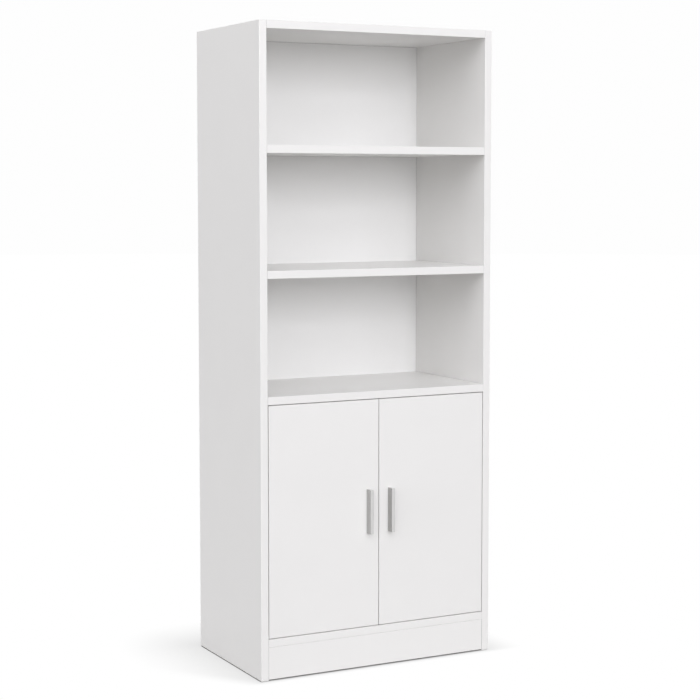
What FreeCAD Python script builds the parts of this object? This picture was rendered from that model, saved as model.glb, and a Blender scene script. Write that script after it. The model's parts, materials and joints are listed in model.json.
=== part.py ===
import FreeCAD, Part
import os
import re

import Sketcher

# Bookcase with two cabinet doors, free standing, in millimetres.
#
# Frame: X to the right, Y to the back, Z up.  The origin is on the floor, in the middle of the
# space that the whole bookcase takes, handles included.  The left half is drawn, and what has a
# twin on the right is its mirror image about the plane X = 0.
#
# Each size that can be set by itself is one row of DIMENSIONS.  What follows from them is one
# row of DERIVED.  Every sketch, feature and placement is bound to those names.

DIMENSIONS = [
    # carcass
    ("case_width", 730, "over the outside faces of the side panels"),
    ("case_depth", 430, "front edge to rear edge of the side panels"),
    ("case_height", 1800, "floor to the top of the side panels"),
    ("board_thickness", 22, "sides, top, bottom and shelves"),
    ("edge_radius", 1, "rounding of the edge banding"),
    ("glide_height", 3, "gap between the side panels and the floor"),
    ("glide_diameter", 18, "disc of a glide"),
    ("glide_inset", 40, "edge of a side panel to the centre of a glide"),
    ("glide_nail_diameter", 2.5, "nail of a glide"),
    ("glide_nail_length", 12, "nail of a glide"),
    ("bottom_panel_level", 95, "floor to the underside of the bottom panel"),
    ("door_opening_height", 647, "bottom panel to the shelf above the doors"),
    ("lower_bay_height", 321, "clear height of the lowest open bay"),
    ("middle_bay_height", 317, "clear height of the middle open bay"),
    ("plinth_thickness", 18, "board of the plinth"),
    ("plinth_floor_gap", 5, "floor to the lower edge of the plinth"),
    # back panel
    ("back_thickness", 4, "hardboard back panel"),
    ("back_setback", 34, "rear edge of the case to the rear face of the back panel"),
    ("groove_depth", 8, "groove that the back panel slides in"),
    ("groove_play", 0.1, "play beside each face of the back panel in its groove"),
    ("groove_end_play", 1, "play between an edge of the back panel and the groove's floor"),
    ("back_screw_diameter", 3, "screw that holds the back panel to a shelf"),
    ("back_screw_length", 20, "screw that holds the back panel to a shelf"),
    ("back_screw_inset", 60, "side panel to the outer back screws"),
    # inner shelf on pins
    ("inner_shelf_height", 312, "bottom panel to the underside of the inner shelf"),
    ("inner_shelf_setback", 30, "front of the case to the front of the inner shelf"),
    ("inner_shelf_side_play", 1, "inner shelf to each side panel"),
    ("inner_shelf_rear_play", 2, "inner shelf to the back panel"),
    ("pin_hole_diameter", 5, "shelf pin hole and the pin in it"),
    ("pin_hole_depth", 10, "shelf pin hole"),
    ("pin_head_diameter", 7, "part of a shelf pin that carries the shelf"),
    ("pin_head_length", 8, "part of a shelf pin that carries the shelf"),
    ("pin_row_inset", 37, "front row of pin holes behind the front of the inner shelf"),
    ("pin_pitch", 32, "spacing of the pin holes up a row"),
    # joints of the carcass
    ("cam_diameter", 15, "cam lock bore"),
    ("cam_below_middle", 4.5, "floor of the cam bore past the middle of the board"),
    ("cam_end_distance", 34, "end of a panel to the centre of its cams"),
    ("cam_front_inset", 50, "front of the case to the front cams"),
    ("cam_rear_inset", 50, "back panel to the rear cams"),
    ("cam_cap_thickness", 1.2, "cover cap that closes a cam bore flush"),
    ("bolt_bore_diameter", 8, "bore for a cam bolt in the end of a panel"),
    ("bolt_shank_diameter", 6, "cam bolt in the panel"),
    ("bolt_thread_diameter", 5, "cam bolt in the side panel"),
    ("bolt_thread_length", 11, "cam bolt in the side panel"),
    ("bolt_neck_diameter", 4, "cam bolt where the cam grips it"),
    ("bolt_head_diameter", 7, "ball end of a cam bolt"),
    ("bolt_head_length", 4, "ball end of a cam bolt"),
    ("dowel_diameter", 8, "wooden dowel"),
    ("dowel_length", 30, "wooden dowel"),
    ("dowel_seat", 10, "part of a dowel in the side panel or in the bottom panel"),
    ("dowel_offset", 32, "cam to the dowel beside it"),
    ("fit_play", 0.1, "radial play of a fastener in its hole"),
    # doors
    ("door_thickness", 16, "door board"),
    ("door_side_gap", 2, "door to the side panel"),
    ("door_end_gap", 2, "door to the panels above and below it"),
    ("door_middle_gap", 2, "between the two doors"),
    # handles
    ("handle_length", 125, "bar handle, end to end"),
    ("handle_width", 10, "front face of the handle"),
    ("handle_projection", 24, "door face to the front of the handle"),
    ("handle_edge_distance", 33, "free edge of the door to the middle of the handle"),
    ("handle_above_middle", 7, "middle of the door up to the middle of the handle"),
    ("handle_groove_depth", 1.5, "finger groove in each flank"),
    ("handle_groove_radius", 22, "finger groove in each flank"),
    ("handle_front_radius", 2, "rounding of the long front edges"),
    ("handle_end_radius", 1, "rounding of the end edges"),
    ("handle_screw_spacing", 96, "between the two screws of a handle"),
    ("handle_screw_diameter", 4, "screw of a handle"),
    ("handle_screw_hole", 4.5, "hole through the door for a handle screw"),
    ("handle_screw_grip", 10, "screw length inside the handle"),
    ("handle_screw_head", 8, "head of a handle screw"),
    ("handle_screw_head_height", 2.4, "head of a handle screw"),
    # concealed hinges
    ("hinge_end_distance", 100, "end of the door to the middle of a hinge"),
    ("cup_diameter", 35, "hinge cup bore"),
    ("cup_depth", 12, "hinge cup bore"),
    ("cup_edge_distance", 5, "edge of the door to the cup bore"),
    ("cup_floor", 0.8, "floor of the hinge cup"),
    ("cup_slot_length", 30, "opening of the cup that the arm passes through"),
    ("cup_slot_play", 1.5, "arm to each side of the cup's opening"),
    ("flange_thickness", 1.2, "flange of the cup on the door"),
    ("flange_width", 36, "flange of the cup, across the door"),
    ("flange_height", 58, "flange of the cup, up the door"),
    ("flange_corner_radius", 8, "corners of the flange"),
    ("cup_screw_spacing", 45, "between the two screws of a cup"),
    ("cup_screw_offset", 9.5, "middle of the cup to the line of its screws"),
    ("cup_screw_diameter", 3.5, "screw of a cup"),
    ("cup_screw_length", 12, "screw of a cup, under its head"),
    ("pivot_edge_distance", 16, "edge of the door to the hinge axis"),
    ("pivot_depth", 7.5, "front face of the door to the hinge axis"),
    ("hinge_pin_diameter", 2.5, "hinge pin"),
    ("hinge_pin_seat", 3, "part of the pin in each wall of the cup"),
    ("hinge_pin_play", 0.05, "radial running play of the pin in the arm's eye"),
    ("arm_eye_wall", 1.1, "wall of the arm's eye round the pin"),
    ("arm_thickness", 2.4, "bent part of the arm"),
    ("arm_bar_thickness", 3, "straight part of the arm, on the mounting plate"),
    ("arm_width", 10, "arm, up the door"),
    ("arm_swing_play", 0.6, "swinging edge of the door to the arm"),
    ("arm_end_distance", 88, "front of the case to the rear end of the arm"),
    ("door_swing_angle", 100, "largest opening angle of a door, in degrees"),
    ("plate_setback", 53, "front of the case to the screws of a mounting plate"),
    ("plate_height", 8, "ridge of the mounting plate above the side panel"),
    ("plate_ridge_width", 12, "ridge of the mounting plate"),
    ("plate_ridge_length", 50, "ridge of the mounting plate"),
    ("plate_wing_thickness", 2.5, "wings of the mounting plate"),
    ("plate_wing_width", 16, "wings of the mounting plate"),
    ("plate_wing_height", 48, "wings of the mounting plate, tip to tip"),
    ("plate_screw_spacing", 32, "between the two screws of a mounting plate"),
    ("plate_screw_diameter", 5, "screw of a mounting plate"),
    ("plate_screw_length", 12, "screw of a mounting plate, under its head"),
    ("arm_bend_radius", 1.5, "inside of the arm's bends"),
    ("arm_screw_spacing", 30, "between the two screws of an arm"),
    ("arm_screw_inset", 14, "rear end of the arm to its rear screw"),
    ("arm_screw_diameter", 4, "screw of an arm"),
    ("arm_screw_length", 9, "screw of an arm, under its head"),
    ("small_head_diameter", 7, "heads of the wood screws and arm screws"),
    ("small_head_height", 1.8, "heads of the wood screws and arm screws"),
    ("recess_width", 1, "one arm of a cross recess"),
    ("recess_depth", 1, "cross recess"),
    # magnetic catch
    ("catch_width", 70, "twin magnetic catch"),
    ("catch_depth", 18, "twin magnetic catch"),
    ("catch_height", 18, "twin magnetic catch"),
    ("catch_screw_spacing", 56, "between the two screws of the catch"),
    ("catch_screw_grip", 12, "screw of the catch inside the shelf"),
    ("magnet_width", 14, "one magnet"),
    ("magnet_height", 8, "one magnet"),
    ("magnet_depth", 6, "one magnet"),
    ("magnet_drop", 10, "shelf over the doors to the middle of a magnet"),
    ("magnet_stand", 0.5, "magnet in front of its housing"),
    ("magnet_play", 0.2, "magnet to the strike plate of the closed door"),
    ("strike_width", 18, "strike plate"),
    ("strike_height", 26, "strike plate"),
    ("strike_thickness", 1.2, "strike plate"),
    ("strike_edge_distance", 15, "free edge of the door to the middle of the strike plate"),
    ("strike_top_distance", 2, "top of the door to the top of the strike plate"),
    ("strike_screw_inset", 6, "lower edge of the strike plate to its screw"),
    ("wood_screw_diameter", 3, "screws of the catch and of the strike plates"),
    ("wood_screw_length", 12, "screws of the strike plates, under the head"),
]

DERIVED = [
    ("front_y", "-(case_depth - handle_projection) / 2", "front plane of the case"),
    ("inner_width", "case_width - 2 * board_thickness", "between the side panels"),
    ("inner_depth", "case_depth - back_setback - back_thickness", "front to the back panel"),
    ("side_height", "case_height - glide_height", "length of a side panel"),
    ("bottom_top", "bottom_panel_level + board_thickness", "top of the bottom panel"),
    ("cabinet_shelf_level", "bottom_top + door_opening_height", "underside, shelf over doors"),
    ("middle_shelf_level", "cabinet_shelf_level + board_thickness + lower_bay_height",
     "underside of the middle shelf"),
    ("upper_shelf_level", "middle_shelf_level + board_thickness + middle_bay_height",
     "underside of the upper shelf"),
    ("top_panel_level", "case_height - board_thickness", "underside of the top panel"),
    ("groove_width", "back_thickness + 2 * groove_play", "groove of the back panel"),
    ("back_tongue", "groove_depth - groove_end_play", "part of the back panel in a groove"),
    ("cam_depth", "board_thickness / 2 + cam_below_middle", "cam bore"),
    ("cam_rear", "inner_depth - cam_rear_inset", "front of the case to the rear cams"),
    ("pin_row_front", "inner_shelf_setback + pin_row_inset", "front row of pin holes"),
    ("pin_row_rear", "inner_depth - inner_shelf_rear_play - pin_row_inset", "rear row"),
    ("pin_level", "bottom_top + inner_shelf_height - pin_head_diameter / 2", "pins in use"),
    ("plinth_height", "bottom_panel_level - plinth_floor_gap", "board of the plinth"),
    ("door_width", "(inner_width - 2 * door_side_gap - door_middle_gap) / 2", "one door"),
    ("door_height", "door_opening_height - 2 * door_end_gap", "one door"),
    ("door_bottom", "bottom_top + door_end_gap", "floor to the lower edge of a door"),
    ("door_left", "-inner_width / 2 + door_side_gap", "hinge edge of the left door"),
    ("lower_hinge_level", "door_bottom + hinge_end_distance", "middle of the lower hinges"),
    ("upper_hinge_level", "door_bottom + door_height - hinge_end_distance",
     "middle of the upper hinges"),
    ("handle_level", "door_height / 2 + handle_above_middle", "door edge to handle middle"),
    ("handle_bottom", "door_bottom + handle_level - handle_length / 2", "lower end, handle"),
    ("handle_foot", "(handle_length - handle_screw_spacing) / 2", "end of handle to screw"),
    ("cup_middle", "door_side_gap + cup_edge_distance + cup_diameter / 2", "side panel to cup"),
    ("pivot_x", "door_side_gap + pivot_edge_distance", "side panel to the hinge axis"),
    ("swing_radius", "sqrt(pivot_edge_distance^2 + (door_thickness - pivot_depth)^2)",
     "reach of the door's rear edge about the hinge axis"),
    ("arm_back", "pivot_depth + swing_radius + arm_swing_play", "front of the arm's cross bar"),
    ("arm_leg", "pivot_x + (door_thickness + flange_thickness - pivot_depth)"
     " * sin(door_swing_angle) - pivot_edge_distance * cos(door_swing_angle)"
     " + arm_swing_play", "near face of the arm's leg"),
    ("pin_half_length", "arm_width / 2 + cup_slot_play + hinge_pin_seat", "half a hinge pin"),
    ("eye_radius", "hinge_pin_diameter / 2 + hinge_pin_play + arm_eye_wall", "arm's eye"),
    ("catch_front", "door_thickness + strike_thickness + magnet_play", "face of the magnets"),
    ("strike_middle", "door_width - strike_edge_distance", "hinge edge to strike plate"),
    ("strike_bottom", "door_height - strike_top_distance - strike_height", "in the door"),
    ("magnet_middle", "strike_edge_distance + door_middle_gap / 2", "middle to a magnet"),
    ("arm_screw_rear", "arm_end_distance - arm_screw_inset", "front to the rear arm screw"),
]

doc = FreeCAD.newDocument("BookcaseWithCabinetDoors")


# ---------------------------------------------------------------- sizes and their names

def make_sheet():
    """Keep the driving dimensions as numbers with aliases."""
    sheet = doc.addObject("Spreadsheet::Sheet", "Dimensions")
    for row, (alias, number, meaning) in enumerate(DIMENSIONS, start=1):
        sheet.set(f"A{row}", meaning)
        sheet.set(f"B{row}", str(number))
        sheet.setAlias(f"B{row}", alias)
    doc.recompute()
    return sheet


def make_derived():
    """Keep what follows from the driving dimensions, one property for each."""
    derived = doc.addObject("App::VarSet", "Derived")
    for name, formula, meaning in DERIVED:
        derived.addProperty("App::PropertyFloat", name, "Derived", meaning)
        derived.setExpression(name, full(formula))
    doc.recompute()
    return derived


OWNER = {row[0]: "Dimensions." for row in DIMENSIONS}
OWNER.update({row[0]: "Derived." for row in DERIVED})


def full(formula):
    """Write a formula's size names with the object that holds each."""
    return re.sub(r"[a-z_]+", lambda word: OWNER.get(word.group(), "") + word.group(), formula)


def value(formula):
    """The number that a formula gives."""
    return float(sheet.evalExpression(full(formula)))


def bind(thing, name, formula):
    """Bind a property to a formula of named sizes."""
    thing.setExpression(name, full(formula))


sheet = make_sheet()
derived = make_derived()


# ---------------------------------------------------------------- sketches and features

PARTS = []


def node(thing, label):
    """Name a finished sub-part and list it for export."""
    thing.Label = label
    PARTS.append(thing)
    return thing


def place(thing, x, y, z):
    """Bind a placement's position."""
    bind(thing, "Placement.Base.x", x)
    bind(thing, "Placement.Base.y", y)
    bind(thing, "Placement.Base.z", z)


def new_body(name):
    return doc.addObject("PartDesign::Body", name)


def new_sketch(body, plane, offset="0"):
    """A sketch on an origin plane of its body, moved along that plane's normal."""
    sketch = body.newObject("Sketcher::SketchObject", body.Name + "Sketch")
    support = [item for item in body.Origin.OriginFeatures if item.Role == plane + "_Plane"]
    sketch.AttachmentSupport = (support[0], [""])
    sketch.MapMode = "FlatFace"
    bind(sketch, "AttachmentOffset.Base.z", offset)
    return sketch


def dimension(sketch, kind, *spot_and_formula):
    """Add one dimensional constraint and bind it to a formula."""
    *spot, formula = spot_and_formula
    index = sketch.addConstraint(Sketcher.Constraint(kind, *spot, value(formula)))
    bind(sketch, f"Constraints[{index}]", formula)


def fix_point(sketch, geometry, point, x, y):
    """Hold a point of the sketch at a place measured from the sketch's origin."""
    for kind, axis, formula in (("DistanceX", -2, x), ("DistanceY", -1, y)):
        if formula == "0":
            sketch.addConstraint(Sketcher.Constraint("PointOnObject", geometry, point, axis))
        else:
            dimension(sketch, kind, -1, 1, geometry, point, formula)


def rectangle(sketch, left, bottom, width, height):
    """A rectangle held by its lower left corner, width and height."""
    x, y = value(left), value(bottom)
    far_x, far_y = x + value(width), y + value(height)
    corners = [(x, y), (far_x, y), (far_x, far_y), (x, far_y)]
    points = [FreeCAD.Vector(*corner, 0) for corner in corners]
    sides = [Part.LineSegment(points[i], points[(i + 1) % 4]) for i in range(4)]
    first = sketch.addGeometry(sides, False)[0]
    for i in range(4):
        joint = (first + i, 2, first + (i + 1) % 4, 1)
        sketch.addConstraint(Sketcher.Constraint("Coincident", *joint))
        direction = ("Horizontal", "Vertical")[i % 2]
        sketch.addConstraint(Sketcher.Constraint(direction, first + i))
    fix_point(sketch, first, 1, left, bottom)
    dimension(sketch, "DistanceX", first, 1, first, 2, width)
    dimension(sketch, "DistanceY", first + 1, 1, first + 1, 2, height)


def polygon(sketch, corners):
    """A closed outline whose corners are all held by their own places."""
    points = [FreeCAD.Vector(value(x), value(y), 0) for x, y in corners]
    count = len(points)
    sides = [Part.LineSegment(points[i], points[(i + 1) % count]) for i in range(count)]
    first = sketch.addGeometry(sides, False)[0]
    for i, (x, y) in enumerate(corners):
        joint = (first + i, 1, first + (i - 1) % count, 2)
        sketch.addConstraint(Sketcher.Constraint("Coincident", *joint))
        fix_point(sketch, first + i, 1, x, y)


def circle(sketch, x, y, diameter):
    """A circle held by its centre and diameter."""
    middle = FreeCAD.Vector(value(x), value(y), 0)
    shape = Part.Circle(middle, FreeCAD.Vector(0, 0, 1), value(diameter) / 2)
    index = sketch.addGeometry(shape, False)
    fix_point(sketch, index, 3, x, y)
    dimension(sketch, "Diameter", index, diameter)


def pad(body, sketch, length, reverse=False):
    feature = body.newObject("PartDesign::Pad", body.Name + "Pad")
    feature.Profile = sketch
    feature.Reversed = reverse
    bind(feature, "Length", length)
    return feature


def pocket(body, sketch, depth, reverse=False):
    """Cut away from the sketch's normal, or along it when reversed."""
    feature = body.newObject("PartDesign::Pocket", body.Name + "Pocket")
    feature.Profile = sketch
    feature.Reversed = reverse
    bind(feature, "Length", depth)
    return feature


def revolve(body, corners):
    """A turned piece: an outline of (radius, height) corners turned about the Z axis."""
    sketch = new_sketch(body, "XZ")
    polygon(sketch, corners)
    feature = body.newObject("PartDesign::Revolution", body.Name + "Revolution")
    feature.Profile = sketch
    feature.ReferenceAxis = (sketch, ["V_Axis"])
    feature.Angle = 360
    return feature


def fillet(body, base, radius, chosen):
    """Round the edges of the feature before it that the test picks."""
    doc.recompute()
    names = [f"Edge{i}" for i, edge in enumerate(base.Shape.Edges, start=1) if chosen(edge)]
    if not names:
        raise RuntimeError(f"{body.Name}: no edge to round")
    feature = body.newObject("PartDesign::Fillet", body.Name + "Fillet")
    feature.Base = (base, names)
    bind(feature, "Radius", radius)
    return feature


NEAR = 1e-4


def lies_at(edge, axis, number):
    """True where the whole edge lies at that coordinate of the body's own frame."""
    low = getattr(edge.BoundBox, axis + "Min")
    high = getattr(edge.BoundBox, axis + "Max")
    return abs(low - number) < NEAR and abs(high - number) < NEAR


def mirrored(source, label):
    """The right-hand twin of a left-hand piece."""
    twin = doc.addObject("Part::Mirroring", source.Name + "Mirror")
    twin.Source = source
    twin.Normal = FreeCAD.Vector(1, 0, 0)
    return node(twin, label)


def group(label, master, spots):
    """Copies of one piece in one node; a spot is its (x, y, z) and the way its Z axis points."""
    copies = []
    for x, y, z, direction in spots:
        copy = doc.addObject("App::Link", master.Name + "Copy")
        copy.LinkedObject = master
        turn = FreeCAD.Rotation(FreeCAD.Vector(0, 0, 1), FreeCAD.Vector(*direction))
        copy.Placement = FreeCAD.Placement(FreeCAD.Vector(), turn)
        place(copy, x, y, z)
        copies.append(copy)
    compound = doc.addObject("Part::Compound", master.Name + "Group")
    compound.Links = copies
    return node(compound, label)


LEFTWARD, RIGHTWARD = (-1, 0, 0), (1, 0, 0)
FORWARD, BACKWARD = (0, -1, 0), (0, 1, 0)
UP, DOWN = (0, 0, 1), (0, 0, -1)

# level of each fixed panel's underside, and the face that its cams are set in
FIXED_PANELS = {
    "bottom_panel": ("bottom_panel_level", DOWN),
    "cabinet_top_shelf": ("cabinet_shelf_level", DOWN),
    "middle_shelf": ("middle_shelf_level", DOWN),
    "upper_shelf": ("upper_shelf_level", DOWN),
    "top_panel": ("top_panel_level", UP),
}
CAM_ROWS = ("cam_front_inset", "cam_rear")
DOWEL_ROWS = ("cam_front_inset + dowel_offset", "cam_rear - dowel_offset")
PLINTH_DOWEL_HEIGHTS = ("plinth_height / 4", "plinth_height * 3 / 4")
BACK_SCREW_LEVELS = ("cabinet_shelf_level", "middle_shelf_level", "upper_shelf_level")
# columns, measured from the left side panel
BACK_SCREW_COLUMNS = ("back_screw_inset", "inner_width / 2", "inner_width - back_screw_inset")
PLINTH_DOWEL_COLUMNS = ("inner_width / 4", "inner_width / 2", "inner_width * 3 / 4")
CATCH_SCREW_COLUMNS = ("inner_width / 2 - catch_screw_spacing / 2",
                       "inner_width / 2 + catch_screw_spacing / 2")
PIN_STEPS = range(-2, 3)
HINGE_LEVELS = {"lower": "lower_hinge_level", "upper": "upper_hinge_level"}


# ---------------------------------------------------------------- carcass boards

def make_side_panel():
    """Left side panel, seen from its lower front outer corner."""
    body = new_body("SidePanel")
    outline = new_sketch(body, "XY")
    rectangle(outline, "0", "0", "board_thickness", "case_depth")
    board = pad(body, outline, "side_height")
    top = value("side_height")
    fillet(body, board, "edge_radius",
           lambda edge: lies_at(edge, "Y", 0) and not lies_at(edge, "Z", 0)
           or lies_at(edge, "Z", top) and lies_at(edge, "X", 0))

    groove = new_sketch(body, "YZ", "board_thickness")
    rectangle(groove, "inner_depth - groove_play", "bottom_top - groove_depth - glide_height",
              "groove_width", "top_panel_level - bottom_top + 2 * groove_depth")
    pocket(body, groove, "groove_depth")

    bolts = new_sketch(body, "YZ", "board_thickness")
    dowels = new_sketch(body, "YZ", "board_thickness")
    for level, _ in FIXED_PANELS.values():
        middle = f"{level} + board_thickness / 2 - glide_height"
        for row in CAM_ROWS:
            circle(bolts, row, middle, "bolt_thread_diameter + 2 * fit_play")
        for row in DOWEL_ROWS:
            circle(dowels, row, middle, "dowel_diameter + 2 * fit_play")
    for height in PLINTH_DOWEL_HEIGHTS:
        circle(dowels, "plinth_thickness / 2", f"plinth_floor_gap + {height} - glide_height",
               "dowel_diameter + 2 * fit_play")
    pocket(body, bolts, "bolt_thread_length + fit_play")
    pocket(body, dowels, "dowel_seat + fit_play")

    pin_holes = new_sketch(body, "YZ", "board_thickness")
    for row in ("pin_row_front", "pin_row_rear"):
        for step in PIN_STEPS:
            circle(pin_holes, row, f"pin_level + {step} * pin_pitch - glide_height",
                   "pin_hole_diameter + 2 * fit_play")
    pocket(body, pin_holes, "pin_hole_depth + fit_play")

    plate_holes = new_sketch(body, "YZ", "board_thickness")
    for level in HINGE_LEVELS.values():
        for side in ("+", "-"):
            circle(plate_holes, "plate_setback",
                   f"{level} {side} plate_screw_spacing / 2 - glide_height",
                   "plate_screw_diameter + 2 * fit_play")
    pocket(body, plate_holes, "plate_screw_length - plate_wing_thickness + fit_play")

    nail_holes = new_sketch(body, "XY")
    for y in ("glide_inset", "case_depth - glide_inset"):
        circle(nail_holes, "board_thickness / 2", y, "glide_nail_diameter + 2 * fit_play")
    pocket(body, nail_holes, "glide_nail_length + fit_play", reverse=True)

    place(body, "-case_width / 2", "front_y", "glide_height")
    node(body, "left_side_panel")
    mirrored(body, "right_side_panel")


def round_long_front_edges(body, board):
    """Round the front edges of a board that lies between the side panels."""
    fillet(body, board, "edge_radius",
           lambda edge: lies_at(edge, "Y", 0) and edge.BoundBox.XLength > NEAR)


def drill_ends(body, width, spots, diameter, depth):
    """The same holes in both ends of a board, at (y, z) spots."""
    for offset, reverse in (("0", True), (width, False)):
        holes = new_sketch(body, "YZ", offset)
        for y, z in spots:
            circle(holes, y, z, diameter)
        pocket(body, holes, depth, reverse=reverse)


def make_fixed_panel(label, depth, back_screws, groove):
    """A panel fastened between the side panels with cams and dowels."""
    level, cam_face = FIXED_PANELS[label]
    body = new_body(label.title().replace("_", ""))
    outline = new_sketch(body, "XY")
    rectangle(outline, "0", "0", "inner_width", depth)
    board = pad(body, outline, "board_thickness")
    round_long_front_edges(body, board)

    middle = "board_thickness / 2"
    drill_ends(body, "inner_width", [(row, middle) for row in CAM_ROWS],
               "bolt_bore_diameter", "cam_end_distance")
    drill_ends(body, "inner_width", [(row, middle) for row in DOWEL_ROWS],
               "dowel_diameter + 2 * fit_play", "dowel_length - dowel_seat + fit_play")

    cams = new_sketch(body, "XY", "board_thickness" if cam_face == UP else "0")
    for x in ("cam_end_distance", "inner_width - cam_end_distance"):
        for row in CAM_ROWS:
            circle(cams, x, row, "cam_diameter + 2 * fit_play")
    pocket(body, cams, "cam_depth", reverse=cam_face == DOWN)

    if groove:
        slot = new_sketch(body, "XY", "0" if groove == DOWN else "board_thickness")
        rectangle(slot, "0", "inner_depth - groove_play", "inner_width", "groove_width")
        pocket(body, slot, "groove_depth", reverse=groove == DOWN)
    if back_screws:
        holes = new_sketch(body, "XZ", "-inner_depth")
        for x in BACK_SCREW_COLUMNS:
            circle(holes, x, middle, "back_screw_diameter + 2 * fit_play")
        pocket(body, holes, "back_screw_length - back_thickness + fit_play", reverse=True)

    place(body, "-inner_width / 2", "front_y", level)
    return node(body, label)


def make_shelves():
    """The panels between the sides, from the bottom up."""
    bottom = make_fixed_panel("bottom_panel", "case_depth", back_screws=False, groove=UP)
    holes = new_sketch(bottom, "XY")
    for x in PLINTH_DOWEL_COLUMNS:
        circle(holes, x, "plinth_thickness / 2", "dowel_diameter + 2 * fit_play")
    pocket(bottom, holes, "dowel_seat + fit_play", reverse=True)

    cabinet_top = make_fixed_panel("cabinet_top_shelf", "inner_depth", True, None)
    holes = new_sketch(cabinet_top, "XY")
    for x in CATCH_SCREW_COLUMNS:
        circle(holes, x, "catch_front + magnet_stand + catch_depth / 2",
               "wood_screw_diameter + 2 * fit_play")
    pocket(cabinet_top, holes, "catch_screw_grip + fit_play", reverse=True)

    make_fixed_panel("middle_shelf", "inner_depth", True, None)
    make_fixed_panel("upper_shelf", "inner_depth", True, None)
    make_fixed_panel("top_panel", "case_depth", back_screws=False, groove=DOWN)


def make_inner_shelf():
    """The loose shelf behind the doors, on four pins."""
    body = new_body("InnerShelf")
    outline = new_sketch(body, "XY")
    rectangle(outline, "0", "0", "inner_width - 2 * inner_shelf_side_play",
              "inner_depth - inner_shelf_rear_play - inner_shelf_setback")
    board = pad(body, outline, "board_thickness")
    round_long_front_edges(body, board)
    place(body, "inner_shelf_side_play - inner_width / 2", "front_y + inner_shelf_setback",
          "bottom_top + inner_shelf_height")
    node(body, "inner_shelf")


def make_plinth():
    """The board under the doors, dowelled to the sides and to the bottom panel."""
    body = new_body("Plinth")
    outline = new_sketch(body, "XY")
    rectangle(outline, "0", "0", "inner_width", "plinth_thickness")
    board = pad(body, outline, "plinth_height")
    round_long_front_edges(body, board)
    spots = [("plinth_thickness / 2", height) for height in PLINTH_DOWEL_HEIGHTS]
    drill_ends(body, "inner_width", spots, "dowel_diameter + 2 * fit_play",
               "dowel_length - dowel_seat + fit_play")
    holes = new_sketch(body, "XY", "plinth_height")
    for x in PLINTH_DOWEL_COLUMNS:
        circle(holes, x, "plinth_thickness / 2", "dowel_diameter + 2 * fit_play")
    pocket(body, holes, "dowel_length - dowel_seat + fit_play")
    place(body, "-inner_width / 2", "front_y", "plinth_floor_gap")
    node(body, "plinth")


def make_back_panel():
    """The thin panel that slides in the grooves of the sides, top and bottom."""
    body = new_body("BackPanel")
    outline = new_sketch(body, "XZ")
    rectangle(outline, "0", "0", "inner_width + 2 * back_tongue",
              "top_panel_level - bottom_top + 2 * back_tongue")
    pad(body, outline, "back_thickness", reverse=True)
    holes = new_sketch(body, "XZ")
    for level in BACK_SCREW_LEVELS:
        for x in BACK_SCREW_COLUMNS:
            circle(holes, f"{x} + back_tongue",
                   f"{level} + board_thickness / 2 - bottom_top + back_tongue",
                   "back_screw_diameter + 2 * fit_play")
    pocket(body, holes, "back_thickness")
    place(body, "-inner_width / 2 - back_tongue", "front_y + inner_depth",
          "bottom_top - back_tongue")
    node(body, "back_panel")


# ---------------------------------------------------------------- fasteners of the carcass

def cross_recess(body, face, size):
    """A cross recess in the face of a head that looks along +Z."""
    for width, height in ((size, "recess_width"), ("recess_width", size)):
        slot = new_sketch(body, "XY", face)
        rectangle(slot, f"-({width}) / 2", f"-({height}) / 2", width, height)
        pocket(body, slot, "recess_depth")


def make_screw(name, diameter, length, head, head_height):
    """A pan-head screw: the head stands on Z = 0 and the shank hangs under it."""
    body = new_body(name)
    revolve(body, [("0", f"-({length})"), (f"{diameter} / 4", f"-({length})"),
                   (f"{diameter} / 2", f"{diameter} / 2 - ({length})"), (f"{diameter} / 2", "0"),
                   (f"{head} / 2", "0"), (f"{head} / 2", f"{head_height} / 2"),
                   (f"{head} * 0.35", head_height), ("0", head_height)])
    cross_recess(body, head_height, f"{head} * 0.55")
    return body


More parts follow.
